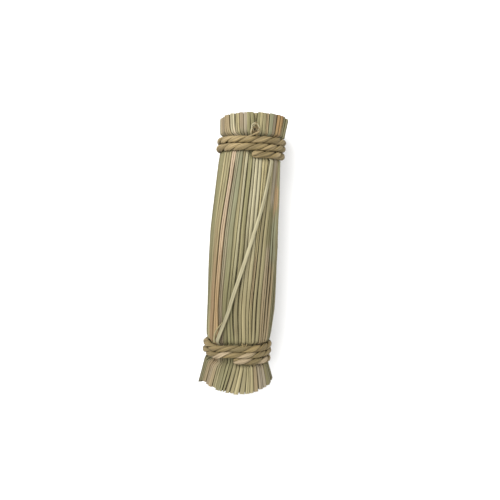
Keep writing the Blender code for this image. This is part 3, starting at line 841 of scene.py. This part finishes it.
def inner_stem(number, draw):
    """One inner stem, from its lower cut to its upper one, pressed together at the waists."""
    if number < LINING_COUNT:
        reach = 1.0
        angle = TURN * (number + draw.uniform(-LINING_UNEVEN, LINING_UNEVEN)) / LINING_COUNT
        offset = LINING_OFFSET
        turned = draw.uniform(-LINING_TURN, LINING_TURN) - angle
    else:
        reach = math.sqrt((number - LINING_COUNT + 0.5) / (INNER_COUNT - LINING_COUNT))
        angle = number * GOLDEN_ANGLE
        offset = INNER_OFFSET
        turned = draw.uniform(0.0, math.pi)
    if draw.random() < FLAT_SHARE:
        wide, thin = draw.uniform(*FLAT_WIDTH), draw.uniform(*FLAT_THICKNESS)
    else:
        wide = thin = draw.uniform(*CURLED_RADIUS)
    lean = (draw.uniform(-INNER_LEAN[0], 0.0), draw.uniform(-INNER_LEAN[1], INNER_LEAN[1]))
    low = LOWER_MIDDLE_Y + (lower_cut(angle) - LOWER_MIDDLE_Y) * reach + draw.uniform(0.0, INNER_UNEVEN)
    high = UPPER_END_Y + (upper_end(angle) - UPPER_END_Y) * reach - draw.uniform(0.0, INNER_UNEVEN)
    along = (low, *INNER_STATIONS, high)
    tone_at = toned(INNER_TONE_SEED + number, *[draw.choice(OTHER_TONES) for _ in range(4)])

    def point_at(turn, share, radius, inside):
        y = along[round(share * INNER_LENGTHS)]
        around = angle + lean[1] * (share - 0.5)
        axis = (place(0.0, y) + place(math.pi, y)) / 2.0
        middle = axis.lerp(place(around, y, offset), reach + lean[0] * abs(share - 0.5))
        loose = radius * half_width(around, y) / WAIST_HALF_WIDTH
        across = wide * math.cos(turn * TURN) * loose
        deep = thin * math.sin(turn * TURN) * loose
        x = across * math.cos(turned) - deep * math.sin(turned)
        z = across * math.sin(turned) + deep * math.cos(turned)
        sink = (CUT_SINK if share < 0.5 else -CUT_SINK) if inside else 0.0
        spot = middle + Vector((x, sink, z)) * MM
        spot.z = max(spot.z, INNER_CLEARANCE * MM)
        return spot, Vector((across + number * GRAIN_APART[0], deep, y)), INNER_SHADE, tone_at(y)

    return point_at


draw = random.Random(INNER_SEED)
shape = bmesh.new()
for number in range(INNER_COUNT):
    add_tube(shape, INNER_SIDES, INNER_LENGTHS, inner_stem(number, draw))
inner_skin = grass_material("inner_stem_skin", INNER_STAINS)
make_piece("inner_stems_grass", shape, inner_skin, "inner_stems")

# The ties
# Each is a cord of two plies, and each ply a few damp blades rolled together, which dried creased. It goes
# nearly two and a half times round the bunch. Its start is tucked under the next turn, and the end of the
# upper one has frayed to a small lacy loop.
CORD_REACH = 1.5
CORD_CLEARANCE = 0.15
CORD_TWIST_PITCH = 11.4
CORD_WAVE = 0.12
CORD_WAVE_LENGTH = 16.0
CORD_STAINS = 0.45
CORD_BUMP_DEPTH = 0.2
TIE_CLIMBS = 2.1
TIE_MIDDLE = 1.1
TIE_LEVELLING = (-0.06, 0.0, 0.06)
PLY_SIDES = 22
PLY_LENGTHS = 460
PLY_OFFSET = 0.68
PLY_DEEP = 0.86
PLY_WIDE = 1.24
PLY_END = 0.008
PLY_END_SIZE = 0.5
PLY_ROLL_PITCH = 19.0
PLY_CREASES = 5
PLY_CREASE = 0.15
CREASE_ROUNDNESS = 0.6
CREASE_MIDDLE = 0.6
# Painted shade in the valleys of a ply's creases
CREASE_SHADE = 0.9
PLY_WRINKLE = 0.06
PLY_STREAK = 0.42
# The noise of the wrinkles and of the streaks: its reach round the ply, its length along and its step by ply
WRINKLE_NOISE = (2.6, 4.0, 9)
STREAK_NOISE = (1.8, 7.0, 5)
PLY_GRAIN = 0.9
PLY_GRAIN_APART = 3.0
PLY_SHADE = (1.1, 0.2)
# What drifts along a ply: how much it is and over what length
TWIST_DRIFT = (0.35, 13.0)
SIZE_DRIFT = (0.09, 7.0)
CREASE_DRIFT = (0.8, 6.0)
CORD_TAN = (149, 129, 86)
CORD_OLIVE = (134, 118, 79)
CORD_PINK = (210, 187, 151)
CORD_STRAW = (178, 156, 112)
CORD_TONE_LENGTH = 9.0
UPPER_TONE_START = 61.0
UPPER_TONE_SPREAD = 0.9
LOWER_TONE_START = 71.0
PALE_ARCS = ((-0.25, 1.45), (5.35, 6.95))
PALE_START = 82.0
PALE_LENGTH = 5.0
PALE_STEEPNESS = 4.0
PALE_SHARE = (0.75, 0.5)
# Fibres go through points that are across, along and outside the waist
LOOP_ROUTE = (
    (0.0, 49.0, 1.8),
    (-0.5, 50.4, 2.1),
    (-0.55, 52.3, 1.1),
    (-0.15, 54.2, 1.0),
    (0.85, 55.2, 1.1),
    (1.85, 54.3, 1.0),
    (2.15, 52.2, 1.1),
    (2.0, 50.4, 2.1),
    (1.5, 49.0, 1.8),
)
TAIL_ROUTE = ((-3.6, 47.4, 2.2), (-2.1, 48.4, 2.9), (-0.35, 49.8, 2.9), (1.6, 51.0, 2.3), (2.4, 51.9, 1.4))
TIP_ROUTES = (
    ((2.0, -41.7, 2.4), (1.9, -40.8, 2.5), (1.7, -39.7, 2.0)),
    ((3.0, -41.7, 2.4), (3.1, -40.8, 2.4), (3.5, -40.0, 1.9)),
    ((2.5, -41.7, 2.4), (2.4, -40.9, 2.4), (2.6, -40.2, 2.0)),
)
LOOP_SEED = 17
LOOP_FIBRES = 12
LOOP_FIBRE_RADIUS = (0.12, 0.25)
LOOP_MIDDLE = (0.75, 52.4)
LOOP_SPREAD = (0.75, 1.0)
LOOP_UNEVEN = (0.18, 0.2, 0.3)
LOOP_TONES = (CORD_TAN, CORD_STRAW, STAIN_BROWN, CORD_OLIVE, CREAM)
LACE_SEED = 40
LACE_FIBRES = 24
LACE_POINTS = 4
LACE_REACH = (0.3, 1.15)
LACE_STRETCH = 1.6
LACE_OFFSET = (0.8, 1.4)
LACE_STEP = (0.8, 1.8)
LACE_RADIUS = 0.12
LACE_TONES = (CORD_OLIVE, STAIN_BROWN, CREAM)
TAIL_SEED = 71
TAIL_RADIUS = 0.38
TIP_SEED = 80
TIP_RADIUS = 0.26
FIBRE_SIDES = 6
FIBRE_STEPS = 6
FIBRE_UNEVEN = 0.3
FIBRE_UNEVEN_LENGTH = 3.0
FIBRE_TWIST = 0.35
FIBRE_FLATNESS = 0.7
FIBRE_GRAIN_STEP = 0.5
# The painted shade amount of the fibres; at this value it darkens nothing
FIBRE_SHADE = 0.1


def waist_place(angle, y, offset):
    """A point outside the waist, wherever along the bunch it is."""
    x = sway(y) + (WAIST_HALF_WIDTH + offset) * math.sin(angle)
    z = CENTRE_HEIGHT + (WAIST_HALF_WIDTH * HEIGHT_SHARE + offset) * math.cos(angle)
    return (Vector((x, y, max(z, 0.0))) + MIDDLE_SHIFT) * MM


def climbed(turns):
    """How many pitches the cord has climbed after so many turns: the last part of it runs level."""
    return sum(min(TIE_CLIMBS, turns + step) - step for step in TIE_LEVELLING) / len(TIE_LEVELLING)


def ply_noise(rolled, run, seed, reach, length, apart):
    """Noise that goes round a ply with its roll."""
    along = run / length + seed * apart
    return noise.noise(Vector((math.cos(rolled) * reach, math.sin(rolled) * reach, along)))


def add_ply(shape, tie, ply, seed, tone_for):
    """One ply of a cord, twisted about the other one."""
    length = TURN * (WAIST_HALF_WIDTH + CORD_CLEARANCE + CORD_REACH) * tie["turns"]
    rings = {}

    def ring_at(share):
        if share not in rings:
            angle = tie["start"] + TURN * tie["turns"] * share
            run = share * length
            apart = 1.0 + tie["spread"] * min(1.0, 1.0 - math.cos(angle))
            climb = TIE_MIDDLE + (climbed(angle / TURN) - TIE_MIDDLE) * apart
            y = tie["start_y"] + tie["pitch"] * climb + CORD_WAVE * drift(seed, run, CORD_WAVE_LENGTH)
            y += tie["askew"] * (1.0 - math.cos(angle)) - tie["tilt"] * math.sin(angle)
            y -= dipped(tie, angle)
            twist = TURN * run / CORD_TWIST_PITCH + ply * math.pi + tie["phase"]
            twist += TWIST_DRIFT[0] * drift(seed // 2, run, TWIST_DRIFT[1])
            ended = math.sqrt(min(1.0, min(share, 1.0 - share) / PLY_END))
            size = tie["size"] * (PLY_END_SIZE + (1.0 - PLY_END_SIZE) * ended)
            size *= 1.0 + SIZE_DRIFT[0] * drift(seed + 3.0, run, SIZE_DRIFT[1])
            crease = PLY_CREASE * (1.0 + CREASE_DRIFT[0] * drift(seed + 7.0, run, CREASE_DRIFT[1]))
            rings[share] = (angle, run, y, twist, size, crease, tone_for(ply, angle, run))
        return rings[share]

    def point_at(turn, share, radius, inside):
        angle, run, y, twist, size, crease_depth, tone = ring_at(share)
        around = turn * TURN
        rolled = around + TURN * run / PLY_ROLL_PITCH
        crease = abs(math.sin(PLY_CREASES * rolled / 2.0 + seed)) ** CREASE_ROUNDNESS
        wrinkle = PLY_WRINKLE * ply_noise(rolled, run, seed, *WRINKLE_NOISE)
        size = size * radius * (1.0 + crease_depth * (crease - CREASE_MIDDLE) + wrinkle)
        deep = PLY_OFFSET * tie["size"] + PLY_DEEP * math.cos(around) * size
        wide = PLY_WIDE * math.sin(around) * size
        outward = deep * math.cos(twist) - wide * math.sin(twist)
        upward = deep * math.sin(twist) + wide * math.cos(twist)
        spot = waist_place(angle, y + upward, CORD_CLEARANCE + CORD_REACH + outward)
        across = math.cos(rolled) * PLY_GRAIN + seed * PLY_GRAIN_APART
        grain = Vector((across, math.sin(rolled) * PLY_GRAIN, run))
        # Painted shade in the crease valleys and on the side of a ply that faces the other ply
        groove_shade = max(CREASE_SHADE * (1.0 - crease), -math.cos(around) * PLY_SHADE[0] - PLY_SHADE[1], 0.0)
        streak = PLY_STREAK * ply_noise(rolled, run, seed, *STREAK_NOISE)
        return spot, grain, min(1.0, groove_shade), tone * (1.0 + streak)

    add_tube(shape, PLY_SIDES, PLY_LENGTHS, point_at)


def smooth_route(points, steps):
    """A smooth curve through the points."""
    ends = [points[0] * 2.0 - points[1], *points, points[-1] * 2.0 - points[-2]]
    route = []
    for before, start, stop, after in zip(ends, ends[1:], ends[2:], ends[3:]):
        for step in range(steps):
            share = step / steps
            curve = start * 2.0 + (stop - before) * share
            curve += (before * 2.0 - start * 5.0 + stop * 4.0 - after) * share**2
            curve += (start * 3.0 - before - stop * 3.0 + after) * share**3
            route.append(curve / 2.0)
    return [*route, points[-1]]


def add_fibre(shape, points, radius, seed, colour):
    """A thin twisted fibre along a curve through the points."""
    placed = []
    for x, y, offset in points:
        angle = math.asin(x / WAIST_HALF_WIDTH)
        placed.append(place(angle, y, offset) if y > UPPER_WAIST[1] else waist_place(angle, y, offset))
    route = smooth_route(placed, FIBRE_STEPS)
    last = len(route) - 1
    tone = linear(colour)

    def point_at(turn, share, section_radius, inside):
        number = round(share * last)
        ahead = route[min(number + 1, last)] - route[max(number - 1, 0)]
        side = ahead.cross(Vector((0.0, 0.0, 1.0))).normalized()
        up = side.cross(ahead).normalized()
        around = turn * TURN + seed
        size = radius * section_radius * (1.0 + FIBRE_UNEVEN * drift(seed, number, FIBRE_UNEVEN_LENGTH))
        twisted = around + number * FIBRE_TWIST
        outward = side * math.cos(twisted) + up * math.sin(twisted) * FIBRE_FLATNESS
        spot = route[number] + outward * size * MM
        grain = Vector((math.cos(around) + seed, math.sin(around), number * FIBRE_GRAIN_STEP))
        return spot, grain, FIBRE_SHADE, tone

    add_tube(shape, FIBRE_SIDES, last, point_at)


def upper_cord_tone(ply, angle, run):
    """Tan that drifts to straw and to olive."""
    share = 0.5 + UPPER_TONE_SPREAD * drift(UPPER_TONE_START + ply, run, CORD_TONE_LENGTH)
    towards = linear(CORD_STRAW if share > 0.5 else CORD_OLIVE)
    return linear(CORD_TAN).lerp(towards, min(1.0, abs(share - 0.5) * 2.0))


def lower_cord_tone(ply, angle, run):
    """Tan that drifts to olive. One of the plies is pale along two arcs."""
    inside = max(min(angle - start, stop - angle) for start, stop in PALE_ARCS)
    pale = ply * smooth_step(inside * PALE_STEEPNESS)
    pale *= PALE_SHARE[0] + PALE_SHARE[1] * drift(PALE_START, run, PALE_LENGTH)
    olive = smooth_step(0.5 + drift(LOWER_TONE_START + ply, run, CORD_TONE_LENGTH))
    return linear(CORD_TAN).lerp(linear(CORD_OLIVE), olive).lerp(linear(CORD_PINK), pale)


def add_loop(shape):
    """The frayed end of the upper tie: a loop of fibres, the lace inside it and the tail that leads to it."""
    draw = random.Random(LOOP_SEED)
    for fibre in range(LOOP_FIBRES):
        spread = draw.uniform(*LOOP_SPREAD)
        points = []
        for x, y, offset in LOOP_ROUTE:
            shifts = [draw.uniform(-uneven, uneven) for uneven in LOOP_UNEVEN]
            across = LOOP_MIDDLE[0] + (x - LOOP_MIDDLE[0]) * spread + shifts[0]
            along = LOOP_MIDDLE[1] + (y - LOOP_MIDDLE[1]) * spread + shifts[1]
            points.append((across, along, offset + shifts[2]))
        colour = draw.choice(LOOP_TONES)
        add_fibre(shape, points, draw.uniform(*LOOP_FIBRE_RADIUS), fibre, colour)
    for fibre in range(LACE_FIBRES):
        around = draw.uniform(0.0, TURN)
        points = []
        for _ in range(LACE_POINTS):
            reach = draw.uniform(*LACE_REACH)
            across = LOOP_MIDDLE[0] + reach * math.sin(around)
            along = LOOP_MIDDLE[1] + LACE_STRETCH * reach * math.cos(around)
            points.append((across, along, draw.uniform(*LACE_OFFSET)))
            around += draw.uniform(*LACE_STEP)
        add_fibre(shape, points, LACE_RADIUS, fibre + LACE_SEED, draw.choice(LACE_TONES))
    add_fibre(shape, TAIL_ROUTE, TAIL_RADIUS, TAIL_SEED, CORD_STRAW)


def add_tips(shape):
    """The few frayed tips that stand up from the lower tie."""
    for fibre, points in enumerate(TIP_ROUTES):
        add_fibre(shape, points, TIP_RADIUS, fibre + TIP_SEED, CORD_TAN)


cord_skin = grass_material("cord_skin", CORD_STAINS, CORD_BUMP_DEPTH)
for node, tie, tone_for, seed, add_frayed_end in (
    ("upper_tie", UPPER_TIE, upper_cord_tone, 2, add_loop),
    ("lower_tie", LOWER_TIE, lower_cord_tone, 6, add_tips),
):
    shape = bmesh.new()
    for ply in range(2):
        add_ply(shape, tie, ply, seed + ply, tone_for)
    add_frayed_end(shape)
    make_piece(f"{node}_plies", shape, cord_skin, node)

# The floor, the light and the camera
# The bunch lies on a plain pale floor in soft studio light, seen from straight above. The lens is shifted a
# little so that the bunch stands in the picture where it should.
FLOOR_HALF = 0.6
FLOOR_PAINT = 0.72
FLOOR_ROUGHNESS = 0.9
KEY_PLACE = (-0.26, 0.34, 0.46)
KEY_SIZE = 0.35
KEY_ENERGY = 4.6
SKY_STRENGTH = 1.7
CAMERA_PLACE = (0.0016, 0.02035, 0.25)
CAMERA_ROLL = math.radians(3.6)
LENS = 37.2
SHIFT_Y = -0.09

shape = bmesh.new()
bmesh.ops.create_grid(shape, x_segments=1, y_segments=1, size=FLOOR_HALF)
floor_mesh = bpy.data.meshes.new("floor")
shape.to_mesh(floor_mesh)
shape.free()
floor = bpy.data.objects.new("floor", floor_mesh)
bpy.context.scene.collection.objects.link(floor)
floor_paint = bpy.data.materials.new("pale_floor")
floor_paint.use_nodes = True
painted = floor_paint.node_tree.nodes["Principled BSDF"]
painted.inputs["Base Color"].default_value = (FLOOR_PAINT, FLOOR_PAINT, FLOOR_PAINT, 1.0)
painted.inputs["Roughness"].default_value = FLOOR_ROUGHNESS
floor_mesh.materials.append(floor_paint)

lamp = bpy.data.lights.new("key", "AREA")
lamp.size = KEY_SIZE
lamp.energy = KEY_ENERGY
key_light = bpy.data.objects.new("key", lamp)
key_light.location = KEY_PLACE
key_light.rotation_euler = Vector(KEY_PLACE).to_track_quat("Z", "Y").to_euler()
bpy.context.scene.collection.objects.link(key_light)
world = bpy.data.worlds.new("studio")
world.use_nodes = True
sky = world.node_tree.nodes["Background"]
sky.inputs["Color"].default_value = (1.0, 1.0, 1.0, 1.0)
sky.inputs["Strength"].default_value = SKY_STRENGTH
bpy.context.scene.world = world
bpy.context.scene.view_settings.view_transform = "Standard"

lens = bpy.data.cameras.new("camera")
lens.lens = LENS
lens.shift_y = SHIFT_Y
camera = bpy.data.objects.new("camera", lens)
camera.location = CAMERA_PLACE
camera.rotation_euler = (0.0, 0.0, CAMERA_ROLL)
bpy.context.scene.collection.objects.link(camera)
bpy.context.scene.camera = camera
